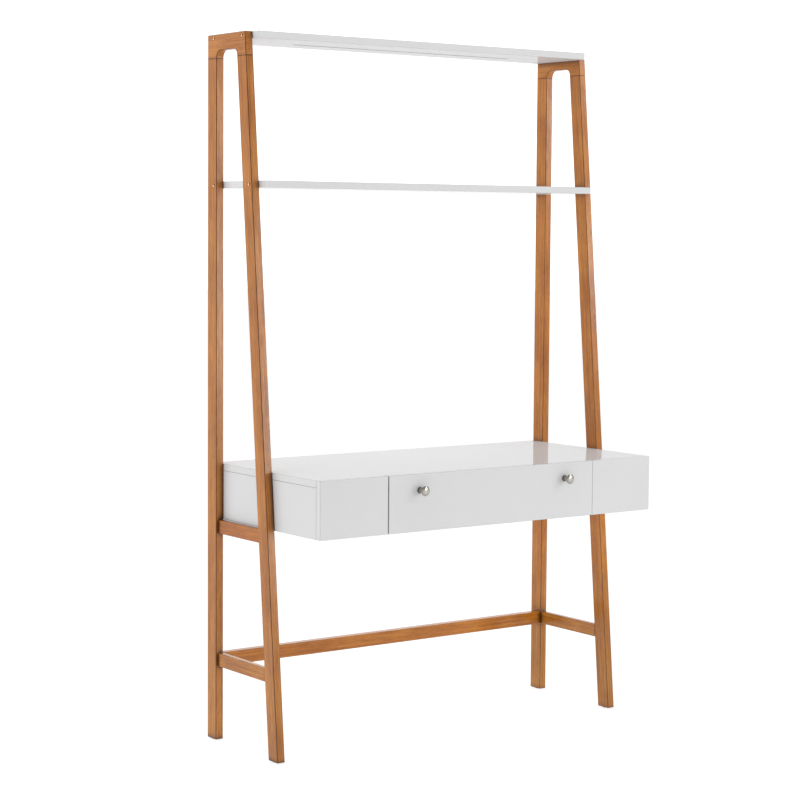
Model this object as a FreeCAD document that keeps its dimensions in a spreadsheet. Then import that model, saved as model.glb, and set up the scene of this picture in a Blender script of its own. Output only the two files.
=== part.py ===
import FreeCAD, Part
import os
import re

import Sketcher

doc = FreeCAD.newDocument("LadderDesk")

# Driving dimensions in millimetres. The back of the desk, of both shelves and of the
# rear legs lies in one plane, the floor is level zero and the desk is even about X = 0.
sizes = {
    # side frames
    "frame_width": 1116,
    "frame_height": 1829,
    "base_depth": 344,
    "head_depth": 181.5,
    "leg_thickness": 22,
    "leg_depth": 43.5,
    "edge_round": 2,
    "head_height": 60,
    "head_bar": 41,
    "seam_chamfer": 1,
    "rail_height": 35.5,
    "rail_thickness": 15,
    "lower_rail_top": 230.5,
    "stretcher_thickness": 22,
    # feet
    "glide_height": 2.5,
    "glide_radius": 9,
    "nail_radius": 1.4,
    "nail_length": 14,
    # shelves
    "shelf_thickness": 18,
    "shelf_overhang": 26.5,
    "shelf_spacing": 373.5,
    "board_round": 0.8,
    "stiffener_length": 710,
    "stiffener_width": 9,
    "stiffener_thickness": 4,
    "stiffener_recess": 1.5,
    "stiffener_setback": 118,
    "stiffener_screw_pitch": 300,
    # desk case
    "desk_height": 726,
    "desk_box_height": 146,
    "desk_depth": 498,
    "panel_thickness": 18,
    "front_thickness": 18,
    "bottom_thickness": 12,
    "back_thickness": 9,
    "drawer_opening": 668,
    "left_gap": 3,
    "right_gap": 1,
    # drawer
    "drawer_clearance": 10,
    "drawer_height": 92,
    "drawer_length": 430,
    "drawer_side": 12,
    "floor_thickness": 5,
    "floor_groove": 5,
    "floor_rise": 8,
    # knobs
    "knob_projection": 27,
    "knob_radius": 12.5,
    "knob_crown": 3.5,
    "knob_rim": 1.5,
    "knob_flare": 2.5,
    "knob_neck_radius": 4.2,
    "knob_neck_round": 3,
    "knob_base_radius": 8,
    "knob_base_height": 1.5,
    "knob_spacing": 472,
    "knob_drop": 41.5,
    "knob_thread": 12,
    # telescopic runners
    "runner_length": 400,
    "runner_setback": 3,
    "runner_rise": 46,
    "runner_height": 35,
    "runner_thickness": 12.7,
    "runner_gauge": 1.2,
    "runner_lip": 1.1,
    "runner_travel": 290,
    "ball_diameter": 3.6,
    "ball_play": 0.3,
    "cage_gauge": 0.8,
    "cage_gap": 0.5,
    # bolts and threaded inserts
    "bolt_radius": 3,
    "bolt_head_radius": 5,
    "bolt_head_height": 5,
    "bolt_sink": 7,
    "bolt_setback": 15,
    "bolt_reach": 25,
    "socket_radius": 2.8,
    "socket_depth": 3,
    "desk_bolt_head_radius": 6.5,
    "desk_bolt_head_height": 3.5,
    "desk_bolt_rise": 45,
    "desk_bolt_pitch": 55,
    "insert_radius": 4.5,
    "shelf_insert_length": 18,
    "desk_insert_length": 13,
    # dowels
    "head_dowel_radius": 4,
    "head_dowel_half": 18,
    "head_dowel_pitch": 20,
    "rail_dowel_radius": 3,
    "rail_dowel_half": 14,
    "rail_dowel_pitch": 20,
    "stretcher_dowel_inset": 5.5,
    "case_dowel_radius": 4,
    "case_dowel_face": 10,
    "case_dowel_edge": 16,
    "case_dowel_inset": 45,
    "front_dowel_inset": 26,
    "corner_dowel_radius": 2.5,
    "corner_dowel_face": 8,
    "corner_dowel_edge": 16,
    "corner_dowel_inset": 24,
    # cam fittings of the stretcher
    "cam_radius": 7.5,
    "cam_depth": 12,
    "cam_setback": 24,
    "cam_pin_hold": 12,
    # wood screws
    "screw_radius": 1.75,
    "screw_head_radius": 3.4,
    "screw_head_height": 2,
    "runner_screw_length": 14,
    "runner_screw_inset": 35,
    "drawer_screw_bite": 9,
    "stiffener_screw_length": 11,
    "case_screw_length": 40,
    "back_screw_inset": 34,
    "front_screw_spread": 540,
    "front_screw_bite": 12,
    "front_screw_inset": 24,
    "knob_screw_radius": 2,
    "knob_screw_head": 4,
    # clearances
    "fit_clearance": 0.1,
    "head_clearance": 0.3,
}
ball_count = 5
sides = (("left", -1), ("right", 1))

sheet = doc.addObject("Spreadsheet::Sheet", "Sizes")
for row, (alias, size) in enumerate(sizes.items(), start=1):
    sheet.set(f"A{row}", alias)
    sheet.set(f"B{row}", str(size))
    sheet.setAlias(f"B{row}", alias)
doc.recompute()

# Planes, levels and lengths that follow from the driving dimensions.
places = {
    "back_plane": "(desk_depth + knob_projection) / 2",
    "front_plane": "back_plane - desk_depth",
    "inner_half": "frame_width / 2 - leg_thickness",
    "leg_middle": "frame_width / 2 - leg_thickness / 2",
    "rake": "(base_depth - head_depth) / frame_height",
    "foot_front": "back_plane - base_depth",
    "rear_leg_front": "back_plane - leg_depth",
    "rear_leg_middle": "back_plane - leg_depth / 2",
    "seam_level": "frame_height - head_height",
    "middle_shelf_height": "frame_height - shelf_spacing",
    "seam_depth": "head_depth + rake * head_height",
    "leg_length": "seam_level - glide_height",
    "arch_rise": "head_height - head_bar",
    "lower_rail_bottom": "lower_rail_top - rail_height",
    "desk_level": "desk_height - desk_box_height",
    "upper_rail_bottom": "desk_level - rail_height",
    "case_front": "front_plane + front_thickness",
    "case_back": "back_plane - back_thickness",
    "case_floor": "desk_level + bottom_thickness",
    "case_ceiling": "desk_height - panel_thickness",
    "case_half": "inner_half - panel_thickness",
    "opening_half": "drawer_opening / 2",
    "partition_far": "opening_half + panel_thickness",
    "drawer_half": "opening_half - runner_thickness",
    "drawer_inner_half": "drawer_half - drawer_side",
    "drawer_low": "case_floor + drawer_clearance",
    "drawer_high": "drawer_low + drawer_height",
    "drawer_rear": "case_front + drawer_length",
    "drawer_face": "case_front + drawer_side",
    "runner_level": "drawer_low + runner_rise",
    "runner_front": "case_front + runner_setback",
    "runner_back": "runner_front + runner_length",
    "ball_space": "ball_diameter + 2 * ball_play",
    "ball_row": "runner_height / 2 - runner_gauge - ball_space / 2",
    "cage_length": "runner_length - runner_travel",
    "cage_front": "runner_front + runner_travel / 2",
    "knob_level": "desk_height - knob_drop",
    "knob_rim_back": "knob_projection - knob_crown - knob_rim",
    "crown_radius": "(knob_radius * knob_radius + knob_crown * knob_crown) / (2 * knob_crown)",
}
word = re.compile(r"[a-z_]+")


def formula(text):
    """Write a formula in plain names as an expression on the sheet's cells."""

    def expand(match):
        name = match.group()
        if name in places:
            return "(" + formula(places[name]) + ")"
        if name in sizes:
            return "Sizes." + name
        return name

    return word.sub(expand, text)


def bind(item, formulas):
    for path, text in formulas.items():
        item.setExpression(path, formula(text))


def stand(item, spot):
    x, y, z = spot
    bind(item, {"Placement.Base.x": x, "Placement.Base.y": y, "Placement.Base.z": z})


def turned_to(direction):
    up = FreeCAD.Vector(0, 0, 1)
    return FreeCAD.Placement(FreeCAD.Vector(), FreeCAD.Rotation(up, FreeCAD.Vector(*direction)))


def moved(spot, direction, along):
    return tuple(f"{at} + {step} * ({along})" if step else at for at, step in zip(spot, direction))


def front_face(level):
    """Y of the raked front face of a front leg at a level."""
    return f"foot_front + rake * ({level})"


def outward(sign, near, far):
    """Span on one side of the middle, from its near to its far distance."""
    if sign > 0:
        return near, far
    return f"-({far})", f"-({near})"


# Solids shared by many pieces.


def rod(radius, length, spot, direction):
    item = doc.addObject("Part::Cylinder", "Rod")
    item.Placement = turned_to(direction)
    bind(item, {"Radius": radius, "Height": length})
    stand(item, spot)
    return item


def taper(wide, narrow, length, spot, direction):
    item = doc.addObject("Part::Cone", "Taper")
    item.Placement = turned_to(direction)
    bind(item, {"Radius1": wide, "Radius2": narrow, "Height": length})
    stand(item, spot)
    return item


def joined(items):
    if len(items) == 1:
        return items[0]
    item = doc.addObject("Part::MultiFuse", "Joined")
    item.Shapes = items
    return item


def cut(base, tools):
    if not tools:
        return base
    item = doc.addObject("Part::Cut", "Drilled")
    item.Base = base
    item.Tool = joined(tools)
    return item


def origin_plane(body, role):
    return next(plane for plane in body.Origin.OriginFeatures if plane.Role == role)


def outline(body, role, corners):
    """Closed outline on a base plane of the body, each corner held by its two distances."""
    sketch = body.newObject("Sketcher::SketchObject", "Outline")
    sketch.AttachmentSupport = (origin_plane(body, role), [""])
    sketch.MapMode = "FlatFace"
    count = len(corners)
    rough = [FreeCAD.Vector(number, number * number, 0) for number in range(count)]
    for number in range(count):
        sketch.addGeometry(Part.LineSegment(rough[number], rough[(number + 1) % count]))
    for number, corner in enumerate(corners):
        before = (number - 1) % count
        sketch.addConstraint(Sketcher.Constraint("Coincident", before, 2, number, 1))
        for kind, axis, distance in zip(("DistanceX", "DistanceY"), (-2, -1), corner):
            if distance == "0":
                sketch.addConstraint(Sketcher.Constraint("PointOnObject", number, 1, axis))
            else:
                start = getattr(rough[number], kind[-1].lower()) + 1
                held = sketch.addConstraint(Sketcher.Constraint(kind, -1, 1, number, 1, start))
                bind(sketch, {f"Constraints[{held}]": distance})
    return sketch


def extrusion(role, corners, length):
    body = doc.addObject("PartDesign::Body", "Extrusion")
    sketch = outline(body, role, corners)
    pad = body.newObject("PartDesign::Pad", "Length")
    pad.Profile = sketch
    bind(pad, {"Length": length})
    doc.recompute()
    return body


def dress(body, kind, size_name, amount, wanted):
    """Round or bevel the wanted edges of a body's last feature."""
    base = body.Tip
    edges = enumerate(base.Shape.Edges, start=1)
    names = [f"Edge{number}" for number, edge in edges if wanted(edge.BoundBox)]
    feature = body.newObject(kind, "Dressed")
    feature.Base = (base, names)
    bind(feature, {size_name: amount})
    doc.recompute()


def round_edges(body, amount, wanted):
    dress(body, "PartDesign::Fillet", "Radius", amount, wanted)


def board(x, y, z, rounded=False):
    body = doc.addObject("PartDesign::Body", "Board")
    block = body.newObject("PartDesign::AdditiveBox", "Blank")
    spans = zip(("Length", "Width", "Height"), (x, y, z))
    bind(block, {name: f"({high}) - ({low})" for name, (low, high) in spans})
    stand(body, (x[0], y[0], z[0]))
    if rounded:
        doc.recompute()
        round_edges(body, "board_round", lambda box: True)
    return body


# Every piece starts as a blank, and what fastens it leaves a bore in each piece it enters.
blanks = {}
bores = {}
groups = {}
slight = 0.01


def bore_in(tool, *labels):
    for label in labels:
        bores.setdefault(label, []).append(tool)


def into_group(label, item):
    groups.setdefault(label, []).append(item)


def dowel(label, radius, length, spot, direction, hosts):
    """Dowel from a spot along a direction, with a bore round it in both boards."""
    into_group(label, rod(radius, length, spot, direction))
    start = moved(spot, direction, "-fit_clearance")
    wide = f"{radius} + fit_clearance"
    bore_in(rod(wide, f"{length} + 2 * fit_clearance", start, direction), *hosts)


def insert(label, length, spot, direction, bolt_bore, host):
    """Threaded sleeve flush with a surface, round the bolt that it takes."""
    sleeve = rod("insert_radius", length, spot, direction)
    into_group(label, cut(sleeve, [bolt_bore]))
    wide = "insert_radius + fit_clearance"
    bore_in(rod(wide, f"{length} + fit_clearance", spot, direction), host)


def flat_screw(label, radius, length, spot, direction, hosts):
    """Countersunk screw, its flat head flush with the surface at the spot."""
    neck = moved(spot, direction, "screw_head_height")
    shank = f"{length} - screw_head_height"
    head = taper("screw_head_radius", radius, "screw_head_height", spot, direction)
    into_group(label, joined([head, rod(radius, shank, neck, direction)]))
    wide = f"{radius} + fit_clearance"
    sink = taper("screw_head_radius + fit_clearance", wide, "screw_head_height", spot, direction)
    bore = joined([sink, rod(wide, f"{shank} + fit_clearance", neck, direction)])
    bore_in(bore, *hosts)


def pan_screw(label, radius, head_radius, length, spot, direction, hosts):
    """Screw whose head stands on the surface at the spot."""
    top = moved(spot, direction, "-screw_head_height")
    head = rod(head_radius, "screw_head_height", top, direction)
    into_group(label, joined([head, rod(radius, length, spot, direction)]))
    bore = rod(f"{radius} + fit_clearance", f"{length} + fit_clearance", spot, direction)
    bore_in(bore, *hosts)


# Side frames: an upright rear leg and a raked front leg under an arched head.


def leg(lean, spot):
    corners = (
        ("0", "0"),
        ("leg_depth", "0"),
        (f"leg_depth + {lean} * leg_length", "leg_length"),
        (f"{lean} * leg_length" if lean != "0" else "0", "leg_length"),
    )
    body = extrusion("YZ_Plane", corners, "leg_thickness")
    tall = body.Shape.BoundBox.ZLength
    dress(body, "PartDesign::Chamfer", "Size", "seam_chamfer", lambda box: box.ZMin > tall - slight)
    round_edges(body, "edge_round", lambda box: box.ZLength > tall / 2)
    stand(body, spot)
    return body


def subtract_rod(body, radius, length, spot, direction):
    feature = body.newObject("PartDesign::SubtractiveCylinder", "Round")
    feature.Placement = turned_to(direction)
    bind(feature, {"Radius": radius, "Height": length})
    stand(feature, spot)


def head(spot):
    corners = (
        ("0", "0"),
        ("seam_depth", "0"),
        ("seam_depth", "head_height"),
        ("rake * head_height", "head_height"),
    )
    body = extrusion("YZ_Plane", corners, "leg_thickness")
    through = "2 * leg_thickness"
    short = "-leg_thickness / 2"
    springings = ("leg_depth + arch_rise", "seam_depth - leg_depth - arch_rise")
    for springing in springings:
        subtract_rod(body, "arch_rise", through, (short, springing, "0"), (1, 0, 0))
    crown = body.newObject("PartDesign::SubtractiveBox", "Crown")
    width = f"({springings[1]}) - ({springings[0]})"
    bind(crown, {"Length": through, "Width": width, "Height": "2 * arch_rise"})
    stand(crown, (short, springings[0], "-arch_rise"))
    doc.recompute()
    top = body.Shape.BoundBox.ZMax
    round_edges(
        body,
        "edge_round",
        lambda box: box.ZMin > top - slight or (box.XLength < slight and box.ZMax > slight),
    )
    stand(body, spot)
    return body


def rail(bottom, x):
    raked_end = front_face(bottom) + " + leg_depth"
    length = f"rear_leg_front - ({raked_end})"
    corners = (
        ("0", "0"),
        (length, "0"),
        (length, "rail_height"),
        ("rake * rail_height", "rail_height"),
    )
    body = extrusion("YZ_Plane", corners, "rail_thickness")
    deep = body.Shape.BoundBox.YLength
    round_edges(body, "edge_round", lambda box: box.YLength > deep / 2)
    stand(body, (x, raked_end, bottom))
    return body


rails = {"upper": "upper_rail_bottom", "lower": "lower_rail_bottom"}
for side, sign in sides:
    leg_x = outward(sign, "inner_half", "frame_width / 2")[0]
    rail_x = outward(sign, "inner_half", "inner_half + rail_thickness")[0]
    blanks[f"{side}_front_leg"] = leg("rake", (leg_x, front_face("glide_height"), "glide_height"))
    blanks[f"{side}_rear_leg"] = leg("0", (leg_x, "rear_leg_front", "glide_height"))
    blanks[f"{side}_head"] = head((leg_x, front_face("seam_level"), "seam_level"))
    for name, bottom in rails.items():
        blanks[f"{side}_{name}_rail"] = rail(bottom, rail_x)

blanks["back_stretcher"] = board(
    ("-inner_half", "inner_half"),
    ("rear_leg_front", "rear_leg_front + stretcher_thickness"),
    ("lower_rail_bottom", "lower_rail_top"),
    rounded=True,
)


def leg_middles(level):
    """Y of the middle of the front and of the rear leg at a level."""
    return {"front": front_face(level) + " + leg_depth / 2", "rear": "rear_leg_middle"}


for side, sign in sides:
    leg_x = f"{sign} * leg_middle"
    rail_x = f"{sign} * (inner_half + rail_thickness / 2)"
    for place, middle in leg_middles("seam_level").items():
        hosts = (f"{side}_{place}_leg", f"{side}_head")
        for step in (-1, 1):
            spot = (leg_x, f"{middle} + {step} * head_dowel_pitch / 2", "seam_level - head_dowel_half")
            dowel("head_dowels", "head_dowel_radius", "2 * head_dowel_half", spot, (0, 0, 1), hosts)
    for place, middle in leg_middles("glide_height").items():
        glide = rod("glide_radius", "glide_height", (leg_x, middle, "0"), (0, 0, 1))
        sole = (leg_x, middle, "glide_height")
        nail = rod("nail_radius", "nail_length", sole, (0, 0, 1))
        into_group("foot_glides", joined([glide, nail]))
        nail_bore = rod("nail_radius + fit_clearance", "nail_length + fit_clearance", sole, (0, 0, 1))
        bore_in(nail_bore, f"{side}_{place}_leg")
    for name, bottom in rails.items():
        for step in (-1, 1):
            level = f"{bottom} + rail_height / 2 + {step} * rail_dowel_pitch / 2"
            ends = {"front": f"{front_face(level)} + leg_depth", "rear": "rear_leg_front"}
            for place, end in ends.items():
                hosts = (f"{side}_{place}_leg", f"{side}_{name}_rail")
                spot = (rail_x, f"{end} - rail_dowel_half", level)
                dowel("rail_dowels", "rail_dowel_radius", "2 * rail_dowel_half", spot, (0, 1, 0), hosts)

# Stretcher joints: a dowel and a cam that draws on a pin in the leg.
for side, sign in sides:
    outwards = (sign, 0, 0)
    level = "lower_rail_bottom + rail_height / 2"
    hosts = ("back_stretcher", f"{side}_rear_leg")
    dowel_y = "rear_leg_front + stretcher_dowel_inset"
    spot = (f"{sign} * (inner_half - rail_dowel_half)", dowel_y, level)
    dowel("stretcher_dowels", "rail_dowel_radius", "2 * rail_dowel_half", spot, outwards, hosts)
    cam_x = f"{sign} * (inner_half - cam_setback)"
    rear_face = "rear_leg_front + stretcher_thickness"
    pin_spot = (cam_x, f"{rear_face} - cam_depth / 2", level)
    pin_length = "cam_setback + cam_pin_hold"
    into_group("stretcher_cam_pins", rod("bolt_radius", pin_length, pin_spot, outwards))
    pin_start = moved(pin_spot, outwards, "-fit_clearance")
    pin_radius = "bolt_radius + fit_clearance"
    pin_bore = rod(pin_radius, f"{pin_length} + 2 * fit_clearance", pin_start, outwards)
    bore_in(pin_bore, *hosts)
    cam_spot = (cam_x, rear_face, level)
    into_group("stretcher_cams", cut(rod("cam_radius", "cam_depth", cam_spot, (0, -1, 0)), [pin_bore]))
    cam_bore = rod("cam_radius + fit_clearance", "cam_depth + fit_clearance", cam_spot, (0, -1, 0))
    bore_in(cam_bore, "back_stretcher")

# Shelves between the frames, each on four bolts that enter its ends from outside.
shelf_tops = {"top_shelf": "frame_height", "middle_shelf": "middle_shelf_height"}
for label, top in shelf_tops.items():
    blanks[label] = board(
        ("-inner_half", "inner_half"),
        (front_face(top) + " - shelf_overhang", "back_plane"),
        (f"{top} - shelf_thickness", top),
        rounded=True,
    )


def shelf_bolt(sign, y, level, shelf, holder):
    inwards = (-sign, 0, 0)
    outer = (f"{sign} * frame_width / 2", y, level)
    seat = moved(outer, inwards, "bolt_sink")
    head_top = moved(outer, inwards, "bolt_sink - bolt_head_height")
    shank = "leg_thickness - bolt_sink + bolt_reach"
    bolt = joined([
        rod("bolt_head_radius", "bolt_head_height", head_top, inwards),
        rod("bolt_radius", shank, seat, inwards),
    ])
    socket = doc.addObject("Part::Prism", "Socket")
    socket.Polygon = 6
    socket.Placement = turned_to(inwards)
    bind(socket, {"Circumradius": "socket_radius", "Height": "socket_depth"})
    stand(socket, head_top)
    into_group("shelf_bolts", cut(bolt, [socket]))
    bore = rod("bolt_radius + fit_clearance", f"{shank} + fit_clearance", seat, inwards)
    sink = rod("bolt_head_radius + head_clearance", "bolt_sink", outer, inwards)
    bore_in(bore, holder, shelf)
    bore_in(sink, holder)
    end = (f"{sign} * inner_half", y, level)
    insert("shelf_inserts", "shelf_insert_length", end, inwards, bore, shelf)


for side, sign in sides:
    for shelf, top in shelf_tops.items():
        level = f"{top} - shelf_thickness / 2"
        faces = {"front": front_face(level), "rear": "rear_leg_front"}
        for place, face in faces.items():
            holder = f"{side}_head" if shelf == "top_shelf" else f"{side}_{place}_leg"
            shelf_bolt(sign, f"{face} + bolt_setback", level, shelf, holder)

# Stiffener bar let into the underside of the top shelf.
bar_y = front_face("frame_height") + " - shelf_overhang + stiffener_setback"
under_shelf = "frame_height - shelf_thickness"
bar_low = f"{under_shelf} + stiffener_recess"
bar_half = "stiffener_length / 2"
bar_side = "stiffener_width / 2"
blanks["shelf_stiffener"] = board(
    (f"-{bar_half}", bar_half),
    (f"{bar_y} - {bar_side}", f"{bar_y} + {bar_side}"),
    (bar_low, f"{bar_low} + stiffener_thickness"),
)
groove_half = f"({bar_half} + fit_clearance)"
groove_side = f"({bar_side} + fit_clearance)"
groove = board(
    (f"-{groove_half}", groove_half),
    (f"{bar_y} - {groove_side}", f"{bar_y} + {groove_side}"),
    (f"{under_shelf} - fit_clearance", f"{bar_low} + stiffener_thickness"),
)
bore_in(groove, "top_shelf")
for step in (-1, 0, 1):
    spot = (f"{step} * stiffener_screw_pitch", bar_y, bar_low)
    hosts = ("shelf_stiffener", "top_shelf")
    flat_screw("stiffener_screws", "screw_radius", "stiffener_screw_length", spot, (0, 0, 1), hosts)

# Desk case: the top lies on the sides and partitions, the fronts cover its front edge.
case_y = ("case_front", "back_plane")
case_z = ("desk_level", "case_ceiling")
inner_y = ("case_front", "case_back")
inner_z = ("case_floor", "case_ceiling")
front_y = ("front_plane", "case_front")
front_z = ("desk_level", "desk_height")
across = ("-case_half", "case_half")
top_z = ("case_ceiling", "desk_height")
blanks["desk_top"] = board(("-inner_half", "inner_half"), case_y, top_z, rounded=True)
blanks["desk_bottom"] = board(across, case_y, ("desk_level", "case_floor"))
blanks["desk_back"] = board(across, ("case_back", "back_plane"), inner_z)
for side, sign in sides:
    side_x = outward(sign, "case_half", "inner_half")
    partition_x = outward(sign, "opening_half", "partition_far")
    front_x = outward(sign, "opening_half", "inner_half")
    blanks[f"{side}_side_panel"] = board(side_x, case_y, case_z, rounded=True)
    blanks[f"{side}_partition"] = board(partition_x, inner_y, inner_z)
    blanks[f"{side}_fixed_front"] = board(front_x, front_y, front_z, rounded=True)

case_stations = (
    "case_front + case_dowel_inset",
    "(case_front + case_back) / 2",
    "case_back - case_dowel_inset",
)
dowel_length = "case_dowel_face + case_dowel_edge"
front_levels = ("case_floor + front_dowel_inset", "case_ceiling - front_dowel_inset")
back_levels = ("case_floor + back_screw_inset", "case_ceiling - back_screw_inset")
for side, sign in sides:
    supports = {
        f"{side}_side_panel": f"{sign} * (inner_half - panel_thickness / 2)",
        f"{side}_partition": f"{sign} * (opening_half + panel_thickness / 2)",
    }
    for support, x in supports.items():
        for y in case_stations:
            spot = (x, y, "case_ceiling - case_dowel_edge")
            hosts = (support, "desk_top")
            dowel("case_dowels", "case_dowel_radius", dowel_length, spot, (0, 0, 1), hosts)
        for level in front_levels:
            spot = (x, "case_front - case_dowel_face", level)
            hosts = (support, f"{side}_fixed_front")
            dowel("case_dowels", "case_dowel_radius", dowel_length, spot, (0, 1, 0), hosts)
    partition = f"{side}_partition"
    x = supports[partition]
    for y in case_stations:
        hosts = ("desk_bottom", partition)
        spot = (x, y, "desk_level")
        flat_screw("case_screws", "screw_radius", "case_screw_length", spot, (0, 0, 1), hosts)
    for level in back_levels:
        hosts = ("desk_back", partition)
        spot = (x, "back_plane", level)
        flat_screw("case_screws", "screw_radius", "case_screw_length", spot, (0, -1, 0), hosts)

# Desk bolts, from inside the case through its sides into sleeves in the legs.
for side, sign in sides:
    outwards = (sign, 0, 0)
    for step in (0, 1):
        level = f"desk_level + desk_bolt_rise + {step} * desk_bolt_pitch"
        for place, y in leg_middles(level).items():
            seat = (f"{sign} * case_half", y, level)
            top = moved(seat, outwards, "-desk_bolt_head_height")
            shank = "panel_thickness + desk_insert_length"
            bolt_head = rod("desk_bolt_head_radius", "desk_bolt_head_height", top, outwards)
            into_group("desk_bolts", joined([bolt_head, rod("bolt_radius", shank, seat, outwards)]))
            bore = rod("bolt_radius + fit_clearance", f"{shank} + fit_clearance", seat, outwards)
            bore_in(bore, f"{side}_side_panel")
            face = (f"{sign} * inner_half", y, level)
            insert("desk_inserts", "desk_insert_length", face, outwards, bore, f"{side}_{place}_leg")

# Drawer: a dowelled box behind a full-height front, which hangs nearer to the right
# fixed front than to the left one.
drawer_z = ("drawer_low", "drawer_high")
inside_x = ("-drawer_inner_half", "drawer_inner_half")
drawer_front_x = ("left_gap - opening_half", "opening_half - right_gap")
blanks["drawer_front"] = board(drawer_front_x, front_y, front_z, rounded=True)
blanks["drawer_inner_front"] = board(inside_x, ("case_front", "drawer_face"), drawer_z)
blanks["drawer_back"] = board(inside_x, ("drawer_rear - drawer_side", "drawer_rear"), drawer_z)
for side, sign in sides:
    side_x = outward(sign, "drawer_inner_half", "drawer_half")
    blanks[f"{side}_drawer_side"] = board(side_x, ("case_front", "drawer_rear"), drawer_z)


def floor_panel(play):
    """Drawer floor that runs into its grooves, grown by a play all round."""
    half = f"(drawer_inner_half + floor_groove + {play})"
    return board(
        (f"-{half}", half),
        (f"drawer_face - floor_groove - {play}", f"drawer_rear - drawer_side + floor_groove + {play}"),
        (f"drawer_low + floor_rise - {play}", f"drawer_low + floor_rise + floor_thickness + {play}"),
    )


blanks["drawer_floor"] = floor_panel("0")
floor_hosts = ("drawer_inner_front", "drawer_back", "left_drawer_side", "right_drawer_side")
bore_in(floor_panel("fit_clearance"), *floor_hosts)

corner_levels = ("drawer_low + corner_dowel_inset", "drawer_high - corner_dowel_inset")
corner_ends = {
    "drawer_inner_front": "case_front + drawer_side / 2",
    "drawer_back": "drawer_rear - drawer_side / 2",
}
corner_length = "corner_dowel_face + corner_dowel_edge"
for side, sign in sides:
    for end, y in corner_ends.items():
        for level in corner_levels:
            spot = (f"{sign} * (drawer_inner_half - corner_dowel_edge)", y, level)
            hosts = (end, f"{side}_drawer_side")
            dowel("drawer_dowels", "corner_dowel_radius", corner_length, spot, (sign, 0, 0), hosts)
    for level in ("drawer_low + front_screw_inset", "drawer_high - front_screw_inset"):
        spot = (f"{sign} * front_screw_spread / 2", "drawer_face", level)
        pan_screw(
            "drawer_front_screws",
            "screw_radius",
            "screw_head_radius",
            "drawer_side + front_screw_bite",
            spot,
            (0, -1, 0),
            ("drawer_inner_front", "drawer_front"),
        )


def knob(spot):
    """Turned knob: a foot that tapers to a slim neck, and a thin crowned disc."""
    corners = (
        ("0", "0"),
        ("knob_base_radius", "0"),
        ("knob_base_radius", "knob_base_height"),
        ("knob_neck_radius", "knob_rim_back - knob_flare"),
        ("knob_radius", "knob_rim_back"),
        ("knob_radius", "knob_projection"),
        ("0", "knob_projection"),
    )
    forwards = (0, -1, 0)
    body = doc.addObject("PartDesign::Body", "Knob")
    sketch = outline(body, "XZ_Plane", corners)
    turning = body.newObject("PartDesign::Revolution", "Turning")
    turning.Profile = sketch
    turning.ReferenceAxis = (sketch, ["V_Axis"])
    doc.recompute()
    boxes = [edge.BoundBox for edge in body.Shape.Edges]
    narrow = min(box.XLength for box in boxes if box.ZLength < slight) + slight
    round_edges(body, "knob_neck_round", lambda box: box.ZLength < slight and box.XLength < narrow)
    body.Placement = turned_to(forwards)
    stand(body, spot)
    ball = doc.addObject("Part::Sphere", "Crown")
    bind(ball, {"Radius": "crown_radius"})
    stand(ball, moved(spot, forwards, "knob_projection - crown_radius"))
    crowned = doc.addObject("Part::Common", "Crowned")
    crowned.Base = body
    crowned.Tool = ball
    return crowned


for side, sign in sides:
    x = f"{sign} * knob_spacing / 2"
    blanks[f"{side}_knob"] = knob((x, "front_plane", "knob_level"))
    pan_screw(
        "knob_screws",
        "knob_screw_radius",
        "knob_screw_head",
        "drawer_side + front_thickness + knob_thread",
        (x, "drawer_face", "knob_level"),
        (0, -1, 0),
        ("drawer_inner_front", "drawer_front", f"{side}_knob"),
    )

# Telescopic runners: a channel on the partition, a channel on the drawer, and between
# them a cage of balls that travels half as far as the drawer. Distances across a runner
# are measured from the partition, and a half turn makes the right runner from the left.
cage_face = "(runner_gauge + cage_gap)"
cage_outer = f"({cage_face} + cage_gauge)"
inner_tip = f"({cage_outer} + cage_gap)"
ball_across = f"({inner_tip} + runner_gauge + ball_play + ball_diameter / 2)"
outer_reach = f"({ball_across} + ball_diameter / 2 + ball_play + runner_gauge)"
inner_reach = f"(runner_thickness - {inner_tip})"
inner_height = "(runner_height - 2 * runner_gauge - 2 * ball_space)"
lip_height = "(runner_gauge + runner_lip)"


def channel(reach, height, gauge, lip):
    """Corners of a channel with its web at zero and its flange tips turned inwards."""
    edge = f"{reach} - {gauge}"
    high = f"{height} - {gauge}"
    return (
        ("0", "0"),
        (reach, "0"),
        (reach, lip),
        (edge, lip),
        (edge, gauge),
        (gauge, gauge),
        (gauge, high),
        (edge, high),
        (edge, f"{height} - {lip}"),
        (reach, f"{height} - {lip}"),
        (reach, height),
        ("0", height),
    )


def lipped_outwards(reach, height, gauge, lip):
    """Corners of a channel with its web at its far side and its flange tips turned outwards."""
    low = lip
    top = f"{lip} + {height}"
    return (
        ("0", "0"),
        (gauge, "0"),
        (gauge, low),
        (reach, low),
        (reach, top),
        (gauge, top),
        (gauge, f"{top} + {lip}"),
        ("0", f"{top} + {lip}"),
        ("0", f"{top} - {gauge}"),
        (f"{reach} - {gauge}", f"{top} - {gauge}"),
        (f"{reach} - {gauge}", f"{low} + {gauge}"),
        ("0", f"{low} + {gauge}"),
    )


def plain_channel(reach, height, gauge):
    high = f"{height} - {gauge}"
    return (
        ("0", "0"),
        (reach, "0"),
        (reach, gauge),
        (gauge, gauge),
        (gauge, high),
        (reach, high),
        (reach, height),
        ("0", height),
    )


def along_runner(sign, corners, across, bottom, front, length):
    """Section drawn across a runner and run along it, on the left or the right side."""
    body = extrusion("XZ_Plane", corners, length)
    if sign < 0:
        start = f"{front} + {length}"
    else:
        body.Placement = FreeCAD.Placement(FreeCAD.Vector(), FreeCAD.Rotation(180, 0, 0))
        start = front
    stand(body, (f"{sign} * (opening_half - {across})", start, bottom))
    return body


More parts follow.
